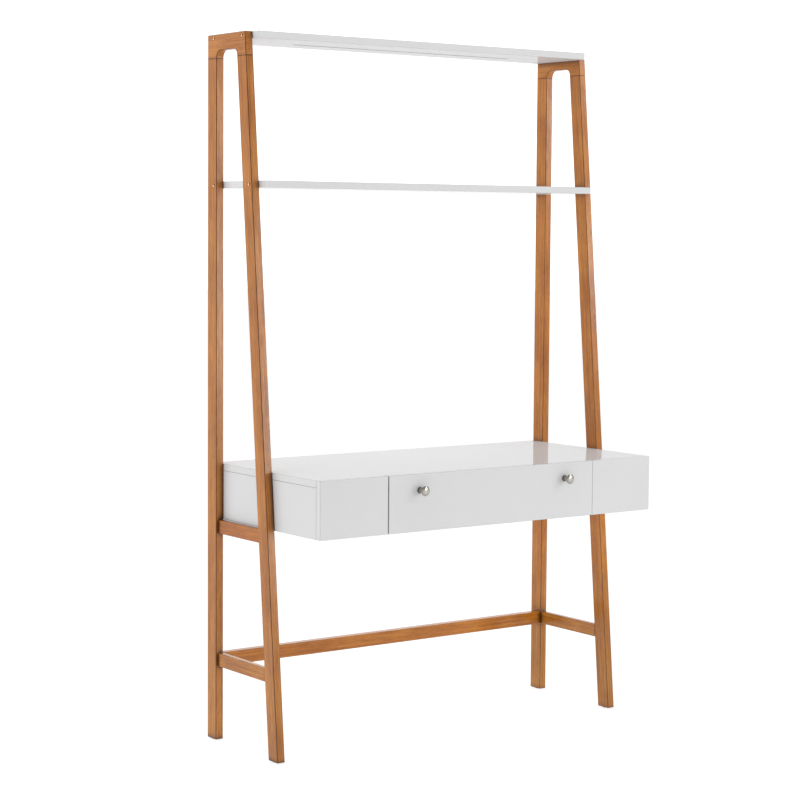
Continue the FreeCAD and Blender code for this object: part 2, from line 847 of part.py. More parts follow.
cage_height = "(2 * ball_row + cage_gauge)"
cage_reach = f"({ball_across} + ball_diameter / 2 + 2 * ball_play - {cage_face})"
for side, sign in sides:
    blanks[f"{side}_cabinet_runner"] = along_runner(
        sign,
        channel(outer_reach, "runner_height", "runner_gauge", lip_height),
        "0",
        "runner_level - runner_height / 2",
        "runner_front",
        "runner_length",
    )
    blanks[f"{side}_drawer_runner"] = along_runner(
        sign,
        lipped_outwards(inner_reach, inner_height, "runner_gauge", "runner_lip"),
        inner_tip,
        f"runner_level - {inner_height} / 2 - runner_lip",
        "runner_front",
        "runner_length",
    )
    blanks[f"{side}_ball_cage"] = along_runner(
        sign,
        plain_channel(cage_reach, cage_height, "cage_gauge"),
        cage_face,
        f"runner_level - {cage_height} / 2",
        "cage_front",
        "cage_length",
    )
    ball_x = f"{sign} * (opening_half - {ball_across})"
    pocket = "ball_diameter / 2 + fit_clearance"
    for number in range(ball_count):
        ball_y = f"cage_front + cage_length * {number + 0.5} / {ball_count}"
        for step in (-1, 1):
            ball = doc.addObject("Part::Sphere", "Ball")
            bind(ball, {"Radius": "ball_diameter / 2"})
            stand(ball, (ball_x, ball_y, f"runner_level + {step} * ball_row"))
            into_group(f"{side}_runner_balls", ball)
        low = (ball_x, ball_y, "runner_level - runner_height / 2")
        bore_in(rod(pocket, "runner_height", low, (0, 0, 1)), f"{side}_ball_cage")
    stations = ("runner_front + runner_screw_inset", "runner_back - runner_screw_inset")
    for y in stations:
        spot = (f"{sign} * (opening_half - runner_gauge)", y, "runner_level")
        hosts = (f"{side}_cabinet_runner", f"{side}_partition")
        flat_screw(
            "cabinet_runner_screws", "screw_radius", "runner_screw_length", spot, (sign, 0, 0), hosts
        )
        spot = (f"{sign} * (drawer_half + runner_gauge)", y, "runner_level")
        hosts = (f"{side}_drawer_runner", f"{side}_drawer_side")
        pan_screw(
            "drawer_runner_screws",
            "screw_radius",
            "screw_head_radius",
            "runner_gauge + drawer_screw_bite",
            spot,
            (-sign, 0, 0),
            hosts,
        )

# Finished pieces: each blank with its bores, and each set of like fasteners as one group.
pieces = []
for label, blank in blanks.items():
    piece = cut(blank, bores.get(label, []))
    piece.Label = label
    pieces.append(piece)
for label, items in groups.items():
    piece = doc.addObject("Part::Compound", "Set")
    piece.Links = items
    piece.Label = label
    pieces.append(piece)
doc.recompute()

failed = [item.Label for item in doc.Objects if {"Invalid", "Error"} & set(item.State)]
for piece in pieces:
    if piece.Shape.isNull() or not piece.Shape.isValid() or not piece.Shape.Solids:
        failed.append(piece.Label)
if failed:
    raise RuntimeError("pieces that did not build: " + ", ".join(failed))

os.makedirs("parts", exist_ok=True)
for piece in pieces:
    piece.Shape.exportStep(f"parts/{piece.Label}.step")
print(len(pieces), "pieces written")
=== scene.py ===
import math

import bmesh
import bpy
from mathutils import Matrix, Vector


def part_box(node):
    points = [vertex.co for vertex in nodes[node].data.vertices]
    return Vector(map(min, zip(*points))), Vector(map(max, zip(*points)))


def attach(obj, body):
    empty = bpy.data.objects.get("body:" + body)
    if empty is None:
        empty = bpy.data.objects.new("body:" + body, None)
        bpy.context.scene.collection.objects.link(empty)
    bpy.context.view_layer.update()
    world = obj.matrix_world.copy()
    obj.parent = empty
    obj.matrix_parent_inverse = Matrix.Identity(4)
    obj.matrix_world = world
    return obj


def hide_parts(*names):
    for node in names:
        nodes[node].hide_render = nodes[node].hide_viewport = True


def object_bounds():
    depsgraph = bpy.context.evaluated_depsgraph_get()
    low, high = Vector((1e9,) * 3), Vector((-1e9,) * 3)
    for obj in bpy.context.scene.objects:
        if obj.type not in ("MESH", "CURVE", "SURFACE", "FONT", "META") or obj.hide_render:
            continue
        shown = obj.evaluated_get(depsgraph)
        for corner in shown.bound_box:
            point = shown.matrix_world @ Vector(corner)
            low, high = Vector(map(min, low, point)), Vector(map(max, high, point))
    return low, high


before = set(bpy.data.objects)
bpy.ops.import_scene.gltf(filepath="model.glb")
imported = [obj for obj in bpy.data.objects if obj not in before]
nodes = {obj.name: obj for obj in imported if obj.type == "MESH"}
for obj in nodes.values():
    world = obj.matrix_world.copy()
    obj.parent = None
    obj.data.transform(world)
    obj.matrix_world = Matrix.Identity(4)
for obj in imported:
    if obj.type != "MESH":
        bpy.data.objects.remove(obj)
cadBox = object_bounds()
sides = ("left", "right")
print("frame loaded:", len(nodes), "pieces")


# Small helpers for building the finishes out of shader nodes.
helperLook = {
    "arrisPeak": 4.0,  # brings the middle of a rounded edge to 1
    "edgeSpan": (0.985, 0.80),  # how alike the eased and true normals are, off an edge and on it
    "edgeSamples": 6,
    "openSky": 0.94,  # share of clear surroundings at which a crevice begins
    "shutSky": 0.45,  # and at which it is deepest
    "skySamples": 8,
}
usualSpan = (0.3, 0.7)  # where most values of a noise lie
plainWhite = (1, 1, 1, 1)


def newFinish(name):
    finish = bpy.data.materials.new(name)
    finish.use_nodes = True
    tree = finish.node_tree
    return finish, tree, tree.nodes["Principled BSDF"]


def setSockets(tree, node, sockets):
    for key, value in sockets.items():
        if isinstance(value, bpy.types.NodeSocket):
            tree.links.new(value, node.inputs[key])
        else:
            node.inputs[key].default_value = value


def add(tree, kind, sockets=None, **settings):
    node = tree.nodes.new("ShaderNode" + kind)
    for key, value in settings.items():
        setattr(node, key, value)
    setSockets(tree, node, sockets or {})
    return node


def calc(tree, operation, first, second=0.0):
    return add(tree, "Math", {0: first, 1: second}, operation=operation).outputs[0]


def remap(tree, value, span, target=(0.0, 1.0)):
    names = ("Value", "From Min", "From Max", "To Min", "To Max")
    return add(tree, "MapRange", dict(zip(names, (value, *span, *target)))).outputs[0]


def blendColour(tree, amount, first, second, way="MIX"):  # sockets 6 and 7 take the colours
    node = add(tree, "Mix", {0: amount, 6: first, 7: second}, data_type="RGBA", blend_type=way)
    return node.outputs[2]


def noise(tree, place, scale=1.0, detail=2.0, rough=0.5):
    sockets = {"Vector": place, "Scale": scale, "Detail": detail, "Roughness": rough}
    return add(tree, "TexNoise", sockets).outputs["Fac"]


def objectPlace(tree):
    return add(tree, "TexCoord").outputs["Object"]


def stretched(tree, place, scale, shift=(0, 0, 0), turn=(0, 0, 0)):
    sockets = {"Vector": place, "Scale": scale, "Location": shift, "Rotation": turn}
    return add(tree, "Mapping", sockets).outputs[0]


def arris(tree, axis):  # 1 along the rounded edges of faces square to an axis, 0 on the flats
    normal = add(tree, "TexCoord").outputs["Normal"]
    part = add(tree, "SeparateXYZ", {0: normal}).outputs[axis]
    square = calc(tree, "MULTIPLY", part, part)
    rest = calc(tree, "SUBTRACT", 1.0, square)
    return calc(tree, "MULTIPLY", calc(tree, "MULTIPLY", square, rest), helperLook["arrisPeak"])


def nearEdge(tree, reach):  # 1 on a sharp edge, 0 further from it than the reach
    normal = add(tree, "TexCoord").outputs["Normal"]
    eased = add(tree, "Bevel", {"Radius": reach}, samples=helperLook["edgeSamples"]).outputs[0]
    alike = add(tree, "VectorMath", {0: eased, 1: normal}, operation="DOT_PRODUCT").outputs["Value"]
    return remap(tree, alike, helperLook["edgeSpan"])


def crevice(tree, reach, shut=helperLook["shutSky"]):  # 1 deep in a seam or an inside corner, 0 in the open
    sky = add(tree, "AmbientOcclusion", {"Distance": reach}, samples=helperLook["skySamples"])
    return remap(tree, sky.outputs["AO"], (helperLook["openSky"], shut))


def bump(tree, height, relief):  # relief is a strength and a depth in metres
    strength, depth = relief
    sockets = {"Height": height, "Strength": strength, "Distance": depth}
    return add(tree, "Bump", sockets).outputs[0]


def dress(name, finish):
    for slot in nodes[name].material_slots:
        slot.material = finish


# Figure of both woods: noises drawn out along the grain, and how far each pulls the tone.
figureLook = {
    "patches": {"stretch": (14, 14, 8), "detail": 2.0, "rough": 0.50, "pull": (-0.08, 0.50)},
    "streaks": {"stretch": (150, 150, 6), "detail": 3.0, "rough": 0.60, "pull": (-0.24, 0.50)},
    "fibres": {"stretch": (560, 560, 30), "detail": 3.0, "rough": 0.65, "pull": (-0.23, 0.39)},
}
poreLook = {"stretch": (1500, 1500, 55), "detail": 1.0, "rough": 0.50, "span": (0.62, 0.72)}
ringLook = {
    "stretch": (1, 1, 0.055),
    "wander": {"Distortion": 3.2, "Detail": 2.0, "Detail Scale": 0.35},
    "pull": (0.0, 0.20),
    "phase": 20,  # a wave texture's phase for each metre at a scale of 1
}
fibreSpan = (0.25, 0.75)
fibreRise = 0.4  # height of the fibres beside the depth of the pores

# Where each board was cut from the log: the place of the first and the steps to the next.
logLook = {"first": (0.024, -0.07, 0.0), "step": (0.031, 0.047, 0.83), "shuffle": 7, "rows": 5}
grainTurns = {"X": (0, -math.pi / 2, 0), "Y": (math.pi / 2, 0, 0), "Z": (0, 0, 0)}


def grainSpace(tree, along, lean, seed):  # Z runs along the grain, each board from its own part of the log
    turn = Vector(grainTurns[along])
    turn.x += lean
    counts = (seed, (seed * logLook["shuffle"]) % logLook["rows"], seed)
    shift = [step * count + first for step, count, first in zip(logLook["step"], counts, logLook["first"])]
    return stretched(tree, objectPlace(tree), (1, 1, 1), shift, turn)


def grainNoise(tree, grain, layer):
    place = stretched(tree, grain, layer["stretch"])
    return noise(tree, place, detail=layer["detail"], rough=layer["rough"])


def woodFigure(tree, grain, ringSpacing):  # the tone, and the fibres and pores for the relief
    ringScale = 2 * math.pi / (ringLook["phase"] * ringSpacing)
    waves = {"Vector": stretched(tree, grain, ringLook["stretch"]), "Scale": ringScale, **ringLook["wander"]}
    rings = add(tree, "TexWave", waves, wave_type="RINGS", rings_direction="Z").outputs["Fac"]
    tone = remap(tree, rings, (0.0, 1.0), ringLook["pull"])
    layers = {}
    for name, layer in figureLook.items():
        layers[name] = grainNoise(tree, grain, layer)
        tone = calc(tree, "ADD", tone, remap(tree, layers[name], usualSpan, layer["pull"]))
    pores = remap(tree, grainNoise(tree, grain, poreLook), poreLook["span"])
    return tone, layers["fibres"], pores


def woodRelief(tree, fibres, pores):
    return calc(tree, "SUBTRACT", calc(tree, "MULTIPLY", fibres, fibreRise), pores)


# Stained and lacquered wood of the two side frames and the stretcher.
woodLook = {
    "pale": (0.525, 0.212, 0.036, 1),
    "deep": (0.320, 0.104, 0.010, 1),
    "pore": (0.110, 0.032, 0.006, 1),
    "poreDepth": 0.6,
    # painted shade, partly stain: the near-black drawn on arrises and in corners
    "edge": (0.042, 0.012, 0.002, 1),
    "edgeReach": 0.0042,
    "arrisSpan": (0.10, 0.60),
    "cornerReach": 0.018,
    "cornerShut": 0.58,
    "footFade": (0.12, 0.46),  # heights between which the painted light and shade at the feet goes over into that above
    "ringSpacing": 0.0062,
    "rough": (0.15, 0.28),
    "shine": 0.42,
    "bump": (0.14, 0.0002),
}


def stainedWood(name, board, seed):
    finish, tree, shader = newFinish(name)
    grain = grainSpace(tree, board["along"], board["lean"], seed)
    tone, fibres, pores = woodFigure(tree, grain, woodLook["ringSpacing"])
    colour = blendColour(tree, tone, woodLook["pale"], woodLook["deep"])
    height = add(tree, "SeparateXYZ", {0: objectPlace(tree)}).outputs["Z"]
    # painted light and shade: the tone is tinted by frame and by height
    lightingTint = blendColour(tree, remap(tree, height, woodLook["footFade"]), board["footLightingTint"], board["lightingTint"])
    colour = blendColour(tree, 1.0, colour, lightingTint, "MULTIPLY")
    colour = blendColour(tree, calc(tree, "MULTIPLY", pores, woodLook["poreDepth"]), colour, woodLook["pore"])
    edge = nearEdge(tree, woodLook["edgeReach"])
    for axis in board["arrises"]:
        edge = calc(tree, "MAXIMUM", edge, remap(tree, arris(tree, axis), woodLook["arrisSpan"]))
    edge = calc(tree, "MULTIPLY", edge, board["edgeDepth"])
    # painted shade: seams and inside corners are darkened by the crevice mask
    corner = crevice(tree, woodLook["cornerReach"], woodLook["cornerShut"])
    corner = calc(tree, "MULTIPLY", corner, board["cornerShadeDepth"])
    dark = calc(tree, "MAXIMUM", edge, corner)  # painted shade in the corners; the darker arrises are partly stain, partly painted shade
    setSockets(tree, shader, {
        "Base Color": blendColour(tree, dark, colour, woodLook["edge"]),
        "Roughness": remap(tree, fibres, fibreSpan, woodLook["rough"]),
        "Specular IOR Level": woodLook["shine"],
        "Normal": bump(tree, woodRelief(tree, fibres, pores), woodLook["bump"]),
    })
    return finish


legLow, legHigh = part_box("left_front_leg")
uprightLow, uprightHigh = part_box("left_rear_leg")
legDepth = uprightHigh.y - uprightLow.y
legRake = math.atan2(legHigh.y - legLow.y - legDepth, legHigh.z - legLow.z)
frameLooks = {  # painted light and shade of each frame: how dark its arrises (partly stain) and corners are drawn, and the tint that makes up for the light on its seen faces
    "left": {
        "edgeDepth": 0.94,
        "cornerShadeDepth": 0.9,
        "lightingTint": (0.98, 0.92, 0.84, 1),
        "footLightingTint": (0.99, 0.98, 0.96, 1),
    },
    "right": {
        "edgeDepth": 0.74,
        "cornerShadeDepth": 0.4,
        "lightingTint": (1.07, 0.98, 0.76, 1),
        "footLightingTint": (0.90, 0.93, 0.93, 1),
    },
}
railLook = {"along": "Y", "lean": 0.0, "arrises": "X", "edgeDepth": 0.25, "cornerShadeDepth": 0.9}
upperRailShadeTint = (0.94, 0.78, 0.56, 1)  # painted shade: the deepest tone, for the shade just under the desk
boardLooks = {  # the way of the grain, and where a board differs from its frame
    "front_leg": {"along": "Z", "lean": legRake, "arrises": "XZ"},
    "rear_leg": {"along": "Z", "lean": 0.0, "arrises": "XZ"},
    "head": {"along": "Y", "lean": 0.0, "arrises": "X", "cornerShadeDepth": 0.65},
    "upper_rail": {**railLook, "lightingTint": upperRailShadeTint, "footLightingTint": upperRailShadeTint},
    "lower_rail": railLook,
}
# painted light and shade: the stretcher takes the right frame's tint
stretcherLightingTint = frameLooks["right"]["lightingTint"]
stretcherLook = {**railLook, "along": "X", "arrises": "Y", "lightingTint": stretcherLightingTint, "footLightingTint": stretcherLightingTint}
seed = 0
for side, frameLook in frameLooks.items():
    for piece, boardLook in boardLooks.items():
        seed += 1
        name = f"{side}_{piece}"
        dress(name, stainedWood(f"stained_{name}", {**frameLook, **boardLook}, seed))
dress("back_stretcher", stainedWood("stained_back_stretcher", stretcherLook, seed + 1))
print("stained wood done")


# White gloss lacquer of the shelves and the desk.
lacquerLook = {
    "white": (0.690, 0.691, 0.697, 1),
    "thin": (0.665, 0.666, 0.671, 1),
    # painted shade on the rounded edges of the boards
    "edge": (0.430, 0.431, 0.434, 1),
    "edgeReach": 0.0018,
    "arrisSpan": (0.2, 0.8),
    "seamReach": 0.004,
    "clouds": {"scale": 3.0, "detail": 4.0, "rough": 0.55},
    "cloudSpan": (0.35, 0.75),
    "peelScale": 260,
    "dustScale": 900,
    "dustDetail": 1.0,
    "dustRise": 0.15,
    "rough": (0.40, 0.55),
    "polish": 0.5,
    "polishRough": 0.05,
    "bump": (0.05, 0.00008),
}
lacquerFits = {  # painted shade of each board's seams and grooves (painted light for the snug board), and how much the painted shade on its edges shows
    "close": {
        "seamShading": (0.460, 0.458, 0.452, 1),
        "edgeDepth": 1.0,
        "pieces": ("middle_shelf", "desk_bottom", "desk_back", "drawer_front",
                   "left_fixed_front", "left_partition", "right_partition"),
    },
    "jointed": {
        "seamShading": (0.090, 0.088, 0.084, 1),
        "edgeDepth": 1.0,
        "pieces": ("top_shelf", "desk_top", "left_side_panel", "right_side_panel"),
    },
    # painted light: the snug board's gap is drawn lighter than the white, its edges barely darkened
    "snug": {
        "seamShading": (0.930, 0.930, 0.930, 1),
        "edgeDepth": 0.15,
        "pieces": ("right_fixed_front",),
    },
}


def whiteLacquer(name, fit):
    finish, tree, shader = newFinish(name)
    place = objectPlace(tree)
    cloud = noise(tree, place, **lacquerLook["clouds"])
    peel = noise(tree, place, lacquerLook["peelScale"])
    dust = noise(tree, place, lacquerLook["dustScale"], lacquerLook["dustDetail"])
    thin = remap(tree, cloud, lacquerLook["cloudSpan"])
    colour = blendColour(tree, thin, lacquerLook["white"], lacquerLook["thin"])
    # painted shade: the rounded edges are drawn darker, for the shade in the joints beside them
    edge = arris(tree, "X")
    for axis in "YZ":
        edge = calc(tree, "MAXIMUM", edge, arris(tree, axis))
    edge = remap(tree, edge, lacquerLook["arrisSpan"])
    edge = calc(tree, "MAXIMUM", edge, nearEdge(tree, lacquerLook["edgeReach"]))
    colour = blendColour(tree, calc(tree, "MULTIPLY", edge, fit["edgeDepth"]), colour, lacquerLook["edge"])
    height = calc(tree, "ADD", peel, calc(tree, "MULTIPLY", dust, lacquerLook["dustRise"]))
    setSockets(tree, shader, {
        # painted shade in seams and grooves from the crevice mask
        "Base Color": blendColour(tree, crevice(tree, lacquerLook["seamReach"]), colour, fit["seamShading"]),
        "Roughness": remap(tree, cloud, usualSpan, lacquerLook["rough"]),
        "Specular IOR Level": 0.0,  # the shine is all in the coat
        "Coat Weight": lacquerLook["polish"],
        "Coat Roughness": lacquerLook["polishRough"],
        "Normal": bump(tree, height, lacquerLook["bump"]),
    })
    return finish


for fitName, fit in lacquerFits.items():
    finish = whiteLacquer(f"white_lacquer_{fitName}", fit)
    for name in fit["pieces"]:
        dress(name, finish)
print("white lacquer done")


# Pale clear-finished wood of the drawer box and of the dowels.
drawerLook = {
    "pale": (0.700, 0.520, 0.325, 1),
    "deep": (0.560, 0.385, 0.215, 1),
    "pore": (0.330, 0.200, 0.100, 1),
    "poreDepth": 0.4,
    "ringSpacing": 0.009,
    "rough": (0.42, 0.58),
    "bump": (0.2, 0.0002),
}
drawerBoards = {
    "pale_wood_along": {
        "along": "Y",
        "seed": 3,
        "pieces": ("left_drawer_side", "right_drawer_side"),
    },
    "pale_wood_across": {
        "along": "X",
        "seed": 5,
        "pieces": ("drawer_inner_front", "drawer_back", "drawer_floor"),
    },
    "beech_dowel": {
        "along": "X",
        "seed": 8,
        "pieces": ("head_dowels", "rail_dowels", "stretcher_dowels", "case_dowels", "drawer_dowels"),
    },
}


def paleWood(name, along, seed):
    finish, tree, shader = newFinish(name)
    tone, fibres, pores = woodFigure(tree, grainSpace(tree, along, 0.0, seed), drawerLook["ringSpacing"])
    colour = blendColour(tree, tone, drawerLook["pale"], drawerLook["deep"])
    pitted = calc(tree, "MULTIPLY", pores, drawerLook["poreDepth"])
    setSockets(tree, shader, {
        "Base Color": blendColour(tree, pitted, colour, drawerLook["pore"]),
        "Roughness": remap(tree, fibres, fibreSpan, drawerLook["rough"]),
        "Normal": bump(tree, woodRelief(tree, fibres, pores), drawerLook["bump"]),
    })
    return finish


for boardName, board in drawerBoards.items():
    finish = paleWood(boardName, board["along"], board["seed"])
    for name in board["pieces"]:
        dress(name, finish)
print("pale wood done")


# Metals: turned nickel knobs, bronzed shelf bolts and zinc-plated hardware.
metalClouds = {"detail": 3.0, "rough": 0.6}
nickelLook = {
    "bright": (0.500, 0.484, 0.440, 1),
    "dull": (0.400, 0.384, 0.345, 1),
    "cloudScale": 240,
    "rim": (0.150, 0.138, 0.118, 1),
    "rimSpan": (0.35, 0.90),
    "rimDepth": (0.0, 0.85),
    "neckShade": (0.040, 0.034, 0.026, 1),
    "neckShadeReach": 0.016,
    "neckShadeShut": 0.66,
    "rough": (0.20, 0.30),
    "turning": 0.7,
    "turningAngle": 0.25,
    "lathe": {"Scale": 420.0, "Distortion": 0.3},
    "bump": (0.10, 0.00003),
}
bronzeLook = {
    "bright": (1.000, 0.600, 0.350, 1),
    "dull": (0.420, 0.150, 0.045, 1),
    "cloudScale": 260,
    "recessShade": (0.110, 0.024, 0.002, 1),
    "recessShadeDepth": 0.95,
    "recessShadeReach": 0.004,
    "recessShadeShut": 0.50,
    "rough": (0.12, 0.24),
}
zincLook = {
    "bright": (0.600, 0.610, 0.630, 1),
    "dull": (0.450, 0.455, 0.460, 1),
    "cloudScale": 180,
    "recessShade": (0.030, 0.028, 0.025, 1),
    "recessShadeDepth": 0.6,
    "recessShadeReach": 0.003,
    "recessShadeShut": 0.45,
    "rough": (0.26, 0.44),
}
platedSpan = (0.35, 0.65)
platedBump = (0.05, 0.00005)
zincPieces = {
    "paired": ("cabinet_runner", "drawer_runner", "ball_cage", "runner_balls"),
    "single": ("stretcher_cam_pins", "shelf_inserts", "desk_bolts", "desk_inserts",
               "cabinet_runner_screws", "drawer_runner_screws"),
}


def plated(name, look):
    finish, tree, shader = newFinish(name)
    cloud = noise(tree, objectPlace(tree), look["cloudScale"], **metalClouds)
    colour = blendColour(tree, remap(tree, cloud, platedSpan), look["bright"], look["dull"])
    # painted shade: the metal is darkened in its recesses and sockets
    recessShade = calc(tree, "MULTIPLY", crevice(tree, look["recessShadeReach"], look["recessShadeShut"]), look["recessShadeDepth"])
    setSockets(tree, shader, {
        "Base Color": blendColour(tree, recessShade, colour, look["recessShade"]),
        "Metallic": 1.0,
        "Roughness": remap(tree, cloud, usualSpan, look["rough"]),
        "Normal": bump(tree, cloud, platedBump),
    })
    return finish


def turnedNickel(name, centre):  # fine lathe rings round the knob's own axis
    finish, tree, shader = newFinish(name)
    place = objectPlace(tree)
    onAxis = stretched(tree, place, (1, 0, 1), (-centre.x, 0, -centre.z))  # flattened along the axis
    lathe = {"Vector": onAxis, **nickelLook["lathe"]}
    rings = add(tree, "TexWave", lathe, wave_type="RINGS", rings_direction="Y").outputs["Fac"]
    cloud = noise(tree, place, nickelLook["cloudScale"], **metalClouds)
    colour = blendColour(tree, cloud, nickelLook["bright"], nickelLook["dull"])
    # painted reflection: the rim of the disc is drawn darker, for the dark it mirrors at its sides
    rim = remap(tree, arris(tree, "Y"), nickelLook["rimSpan"], nickelLook["rimDepth"])
    colour = blendColour(tree, rim, colour, nickelLook["rim"])
    # painted reflection: the neck is darkened for the dark it mirrors beside the drawer front
    neck = crevice(tree, nickelLook["neckShadeReach"], nickelLook["neckShadeShut"])
    setSockets(tree, shader, {
        "Base Color": blendColour(tree, neck, colour, nickelLook["neckShade"]),
        "Metallic": 1.0,
        "Roughness": remap(tree, cloud, usualSpan, nickelLook["rough"]),
        "Anisotropic": nickelLook["turning"],
        "Anisotropic Rotation": nickelLook["turningAngle"],
        "Tangent": add(tree, "Tangent", direction_type="RADIAL", axis="Y").outputs[0],
        "Normal": bump(tree, rings, nickelLook["bump"]),
    })
    return finish


zinc = plated("zinc_plate", zincLook)
bronze = plated("bronzed_bolt", bronzeLook)
for side in sides:
    low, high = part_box(f"{side}_knob")
    dress(f"{side}_knob", turnedNickel(f"turned_nickel_{side}", (low + high) / 2))
    for piece in zincPieces["paired"]:
        dress(f"{side}_{piece}", zinc)
for name in zincPieces["single"]:
    dress(name, zinc)
print("metals done")


# Moulded plastic of the foot glides, and the stiffener bar drawn near-black as painted shade of the groove it
# lies in.
glideLook = {
    "dark": (0.030, 0.024, 0.020, 1),
    "worn": (0.060, 0.050, 0.044, 1),
    "rough": (0.45, 0.65),
    "shine": 0.5,
    "speckles": 1400,
}
barShadeLook = {
    "dark": (0.036, 0.034, 0.031, 1),
    "worn": (0.060, 0.057, 0.052, 1),
    "rough": (0.55, 0.75),
    "shine": 0.0,
    "speckles": 900,
}
speckleBump = (0.15, 0.0001)


def darkCoat(name, look):
    finish, tree, shader = newFinish(name)
    speckle = noise(tree, objectPlace(tree), look["speckles"])
    setSockets(tree, shader, {
        "Base Color": blendColour(tree, speckle, look["dark"], look["worn"]),
        "Roughness": remap(tree, speckle, usualSpan, look["rough"]),
        "Specular IOR Level": look["shine"],
        "Normal": bump(tree, speckle, speckleBump),
    })
    return finish


plastic = darkCoat("glide_plastic", glideLook)
dress("shelf_stiffener", darkCoat("bar_in_groove_shade", barShadeLook))
print("dark coats done")


# Fasteners and glides: each is turned from a profile, its drive sunk in its face, one on every CAD solid.
# A head is radius and depth below the face, and a tip is radius and distance short of the end.
boltShape = {
    "head": (  # dished, with a round rim
        (0, 0.0003), (0.0028, 0.0002), (0.0031, -0.0001), (0.0047, -0.0014),
        (0.0050, -0.0016), (0.0052, -0.0014), (0.0051, -0.0004), (0.0050, 0),
        (0.0050, 0.0047), (0.0047, 0.0050), (0.0030, 0.0050),
    ),
    "thread": {"radius": 0.0030, "start": 0.0058, "stop": 0.001, "pitch": 0.0014},
    "tip": ((0.0022, 0), (0, 0)),
}
flatScrewShape = {
    "head": ((0, 0), (0.0031, 0), (0.0034, 0.00025), (0.0033, 0.00045), (0.00175, 0.0020)),
    "thread": {"radius": 0.00175, "start": 0.0026, "stop": 0.004, "pitch": 0.0014},
    "tip": ((0.0010, 0.002), (0, 0)),
}
panScrewShape = {
    "head": (
        (0, 0), (0.0014, 0.00003), (0.0026, 0.0003), (0.0035, 0.0009),
        (0.0039, 0.0015), (0.0040, 0.0020), (0.0020, 0.0020),
    ),
    "thread": {"radius": 0.0020, "start": 0.0024, "stop": 0.001, "pitch": 0.0010},
    "tip": ((0.0014, 0), (0, 0)),
}
camShape = {
    "head": (
        (0, 0.0007), (0.0056, 0.0007), (0.0060, 0.0001), (0.0064, 0),
        (0.0072, 0), (0.0075, 0.0004), (0.0075, 0.0090), (0.0071, 0.0094),
    ),
    "tip": ((0.0071, 0.0004), (0.0067, 0), (0, 0)),
}
glideShape = {
    "head": (
        (0, 0.0004), (0.0022, 0.0004), (0.0027, 0), (0.0068, 0), (0.0081, 0.0004),
        (0.0088, 0.0011), (0.0090, 0.0020), (0.0090, 0.0025), (0.0014, 0.0025),
    ),
    "tip": ((0.0014, 0.003), (0, 0)),
}
hexDrive = {"sides": 6, "radius": 0.0026, "depth": 0.0030, "taper": 1.0}
crossDrive = {"radius": 0.0022, "width": 0.0011, "depth": 0.0015, "taper": 0.62}
camDrive = {"radius": 0.0042, "width": 0.0018, "depth": 0.0045, "taper": 0.62}
turningLook = {
    "rounds": 40,
    "threadCut": 0.0004,
    "cutterRise": 0.0005,  # the drive cutter stands this far out of the face
    "spinStep": 0.9,  # radians from the drive of one fastener to the next
    "sharpAngle": math.radians(32),
    "solidWeld": 1e-6,
    "turnedWeld": 1e-7,
    "sortDigits": 4,  # solids are put in order by place, to a tenth of a millimetre
}
fastenerLooks = {
    "shelf_bolts": {
        "shape": boltShape, "drive": hexDrive, "facings": ((-1, 0, 0), (1, 0, 0)),
        "finish": bronze, "slot": "bronzed_steel",
    },
    "stiffener_screws": {
        "shape": flatScrewShape, "drive": crossDrive, "facings": ((0, 0, -1),),
        "finish": zinc,
    },
    "case_screws": {
        "shape": flatScrewShape, "drive": crossDrive, "facings": ((0, 0, -1), (0, 1, 0)),
        "finish": zinc,
    },
    "drawer_front_screws": {
        "shape": panScrewShape, "drive": crossDrive, "facings": ((0, 1, 0),),
        "finish": zinc, "body": "drawer", "scale": 0.85,  # thinner than the knob screws
    },
    "knob_screws": {
        "shape": panScrewShape, "drive": crossDrive, "facings": ((0, 1, 0),),
        "finish": zinc, "body": "drawer",
    },
    "stretcher_cams": {
        "shape": camShape, "drive": camDrive, "facings": ((0, 1, 0),),
        "finish": zinc,
    },
    "foot_glides": {
        "shape": glideShape, "facings": ((0, 0, -1),),
        "finish": plastic, "slot": "dark_plastic",
    },
}


def solidBoxes(name):  # lowest and highest corner of each separate solid of a piece
    shape = bmesh.new()
    shape.from_mesh(nodes[name].data)
    bmesh.ops.remove_doubles(shape, verts=shape.verts, dist=turningLook["solidWeld"])
    loose = set(shape.verts)
    boxes = []
    while loose:
        reached = [loose.pop()]
        for vert in reached:
            for edge in vert.link_edges:
                other = edge.other_vert(vert)
                if other in loose:
                    loose.remove(other)
                    reached.append(other)
        corners = [vert.co.copy() for vert in reached]
        low = Vector([min(corner[i] for corner in corners) for i in range(3)])
        high = Vector([max(corner[i] for corner in corners) for i in range(3)])
        boxes.append((low, high))
    shape.free()
    return sorted(boxes, key=lambda box: tuple(round(value, turningLook["sortDigits"]) for value in box[0]))


def threadRows(thread, length):  # zigzag of crests and roots down a shank
    crest, start, pitch = thread["radius"], thread["start"], thread["pitch"]
    root = crest - turningLook["threadCut"]
    rows = []
    for i in range(int((length - thread["stop"] - start) / pitch)):
        rows += [(crest, start + pitch * i), (root, start + pitch * (i + 0.5))]
    return rows


def profileOf(shape, length):  # radius and depth, from the middle of the face to the tip
    rows = list(shape["head"])
    if "thread" in shape:
        rows += threadRows(shape["thread"], length)
    return rows + [(radius, length - short) for radius, short in shape["tip"]]


